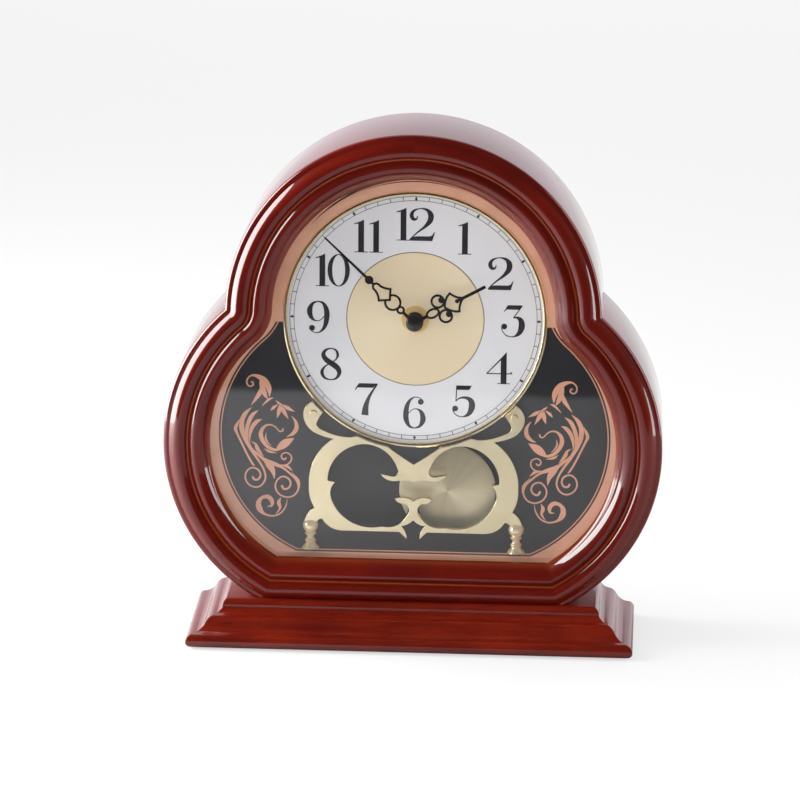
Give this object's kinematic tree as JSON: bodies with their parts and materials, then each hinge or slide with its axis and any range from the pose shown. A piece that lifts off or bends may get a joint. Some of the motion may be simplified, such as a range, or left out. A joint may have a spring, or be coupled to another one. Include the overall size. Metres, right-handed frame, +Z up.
{
  "type": "mantel clock with pendulum",
  "caption": "Mantel clock in a lacquered trefoil wooden case on a stepped plinth, with a glazed round dial, pierced gold ornament and a swinging pendulum behind it.",
  "frame": {"origin": "on the surface it stands on, under the middle of the whole footprint", "axes": "+X to the right as the dial is read, -Y towards the reader, +Z up"},
  "size_m": [0.2868, 0.0831, 0.3009],
  "materials": {
    "lacquered_wood": "high gloss clear lacquer over red-brown stain",
    "plain_board": "plain hardboard, matt",
    "green_felt": "felt",
    "clear_glass": "clear and flat",
    "copper_trim": "satin copper colour",
    "printed_board": "glossy near-black with rose-gold print",
    "silver_dial": "satin silver-white with black print",
    "gold_disc": "satin pale gold",
    "polished_gold": "polished pale gold plating",
    "black_hands": "gloss black",
    "black_plastic": "moulded black",
    "gear_plastic": "natural white acetal",
    "steel": "bright steel",
    "hinge_brass": "brass plated",
    "copper_wire": "enamelled copper wire",
    "circuit": "green solder mask",
    "battery_jacket": null
  },
  "bodies": {
    "case": {"front_frame": "lacquered_wood", "case_rim": "lacquered_wood", "plinth": "lacquered_wood", "base_felt": "green_felt", "plinth_screws": "steel", "front_glass": "clear_glass", "glass_spacer": "copper_trim", "dial_board": "printed_board", "dial_plate": "silver_dial", "dial_ring": "polished_gold", "dial_centre_disc": "gold_disc", "dial_clips": "steel", "ornament_panel": "polished_gold", "ornament_feet": "polished_gold", "mounting_nut": "polished_gold", "movement_case": "black_plastic", "cover_screws": "steel", "movement_cover": "black_plastic", "train_bridge": "gear_plastic", "stator": "steel", "motor_coil": "copper_wire", "circuit_board": "circuit", "battery": "battery_jacket", "battery_contacts": "steel", "drive_coil": "copper_wire", "pendulum_pin": "steel", "pendulum_tray": "black_plastic", "back_panel": "plain_board", "panel_screws": "steel", "hinge_fixed_leaves": "hinge_brass", "hinge_pins": "steel", "button_screw": "steel"},
    "minute": {"minute_hand": "black_hands", "hand_cap": "black_hands", "cannon_pinion": "gear_plastic"},
    "hour": {"hour_hand": "black_hands", "hour_wheel": "gear_plastic"},
    "motion": {"motion_wheel": "gear_plastic"},
    "setting": {"setting_shaft": "gear_plastic", "setting_knob": "black_plastic"},
    "rotor": {"rotor": "gear_plastic"},
    "intermediate": {"intermediate_wheel": "gear_plastic"},
    "seconds": {"seconds_wheel": "gear_plastic"},
    "third": {"third_wheel": "gear_plastic"},
    "centre": {"centre_wheel": "gear_plastic"},
    "pendulum": {"pendulum_hanger": "gear_plastic", "pendulum_magnet": "steel", "pendulum_rod": "polished_gold", "pendulum_bob": "polished_gold", "bob_nut": "polished_gold"},
    "door": {"back_door": "plain_board", "hinge_door_leaves": "hinge_brass"},
    "button": {"turn_button": "hinge_brass"}
  },
  "joints": [
    {"name": "minute_turn", "type": "hinge", "parent": "case", "child": "minute", "pos_m": [0, -0.0007, 0.187], "axis": [0, 1, 0], "continuous": true},
    {"name": "hour_turn", "type": "hinge", "parent": "case", "child": "hour", "pos_m": [0, 0.0007, 0.187], "axis": [0, 1, 0], "continuous": true},
    {"name": "motion_turn", "type": "hinge", "parent": "case", "child": "motion", "pos_m": [0, 0.0145, 0.199], "axis": [0, 1, 0], "continuous": true},
    {"name": "setting_turn", "type": "hinge", "parent": "case", "child": "setting", "pos_m": [0.012, 0.03, 0.199], "axis": [0, 1, 0], "continuous": true},
    {"name": "rotor_turn", "type": "hinge", "parent": "case", "child": "rotor", "pos_m": [0.01158, 0.0225, 0.18057], "axis": [0, 1, 0], "continuous": true},
    {"name": "intermediate_turn", "type": "hinge", "parent": "case", "child": "intermediate", "pos_m": [0.00816, 0.0222, 0.187], "axis": [0, 1, 0], "continuous": true},
    {"name": "seconds_turn", "type": "hinge", "parent": "case", "child": "seconds", "pos_m": [0, 0.0205, 0.187], "axis": [0, 1, 0], "continuous": true},
    {"name": "third_turn", "type": "hinge", "parent": "case", "child": "third", "pos_m": [-0.01224, 0.0185, 0.187], "axis": [0, 1, 0], "continuous": true},
    {"name": "centre_turn", "type": "hinge", "parent": "case", "child": "centre", "pos_m": [0, 0.0165, 0.187], "axis": [0, 1, 0], "continuous": true},
    {"name": "pendulum_swing", "type": "hinge", "parent": "case", "child": "pendulum", "pos_m": [0, 0.013, 0.169], "axis": [0, 1, 0], "range_deg": [-0.6, 25.8]},
    {"name": "door_swing", "type": "hinge", "parent": "case", "child": "door", "pos_m": [0.05625, 0.0391, 0.1865], "axis": [0, 0, -1], "range_deg": [0, 110]},
    {"name": "button_turn", "type": "hinge", "parent": "case", "child": "button", "pos_m": [-0.062, 0.0385, 0.1865], "axis": [0, 1, 0], "range_deg": [0, 90]}
  ],
  "couplings": [
    {"joint": "hour_turn", "follows": "minute_turn", "ratio": 0.083333},
    {"joint": "motion_turn", "follows": "minute_turn", "ratio": -0.33333},
    {"joint": "setting_turn", "follows": "minute_turn", "ratio": 1},
    {"joint": "intermediate_turn", "follows": "rotor_turn", "ratio": -0.16667},
    {"joint": "seconds_turn", "follows": "rotor_turn", "ratio": 0.033333},
    {"joint": "third_turn", "follows": "rotor_turn", "ratio": -0.0041667},
    {"joint": "centre_turn", "follows": "rotor_turn", "ratio": 0.00055556}
  ]
}
